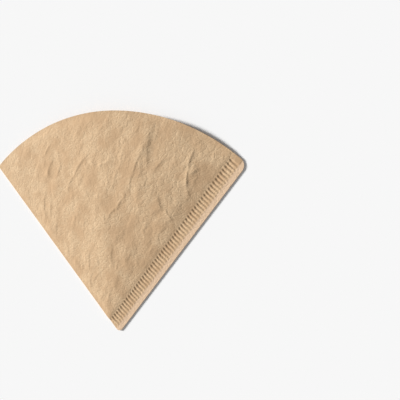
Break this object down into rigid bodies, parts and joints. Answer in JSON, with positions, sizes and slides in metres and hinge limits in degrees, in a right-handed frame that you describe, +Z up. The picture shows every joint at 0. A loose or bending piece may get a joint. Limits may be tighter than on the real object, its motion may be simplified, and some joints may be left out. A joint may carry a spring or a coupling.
{
  "type": "paper coffee filter",
  "caption": "Cone coffee filter of unbleached paper, folded flat, with a crimped toothed seam and a plain lip down one side and an open curved mouth.",
  "frame": {"origin": "middle of the flat underside, on the surface that the filter lies on", "axes": "+X from the folded side towards the crimped seam, +Y from the point towards the open mouth, +Z up through the two plies"},
  "size_m": [0.1558, 0.1234, 0.0042],
  "materials": {
    "paper": "matte"
  },
  "bodies": {
    "root": {"paper_filter": "paper"}
  },
  "joints": []
}
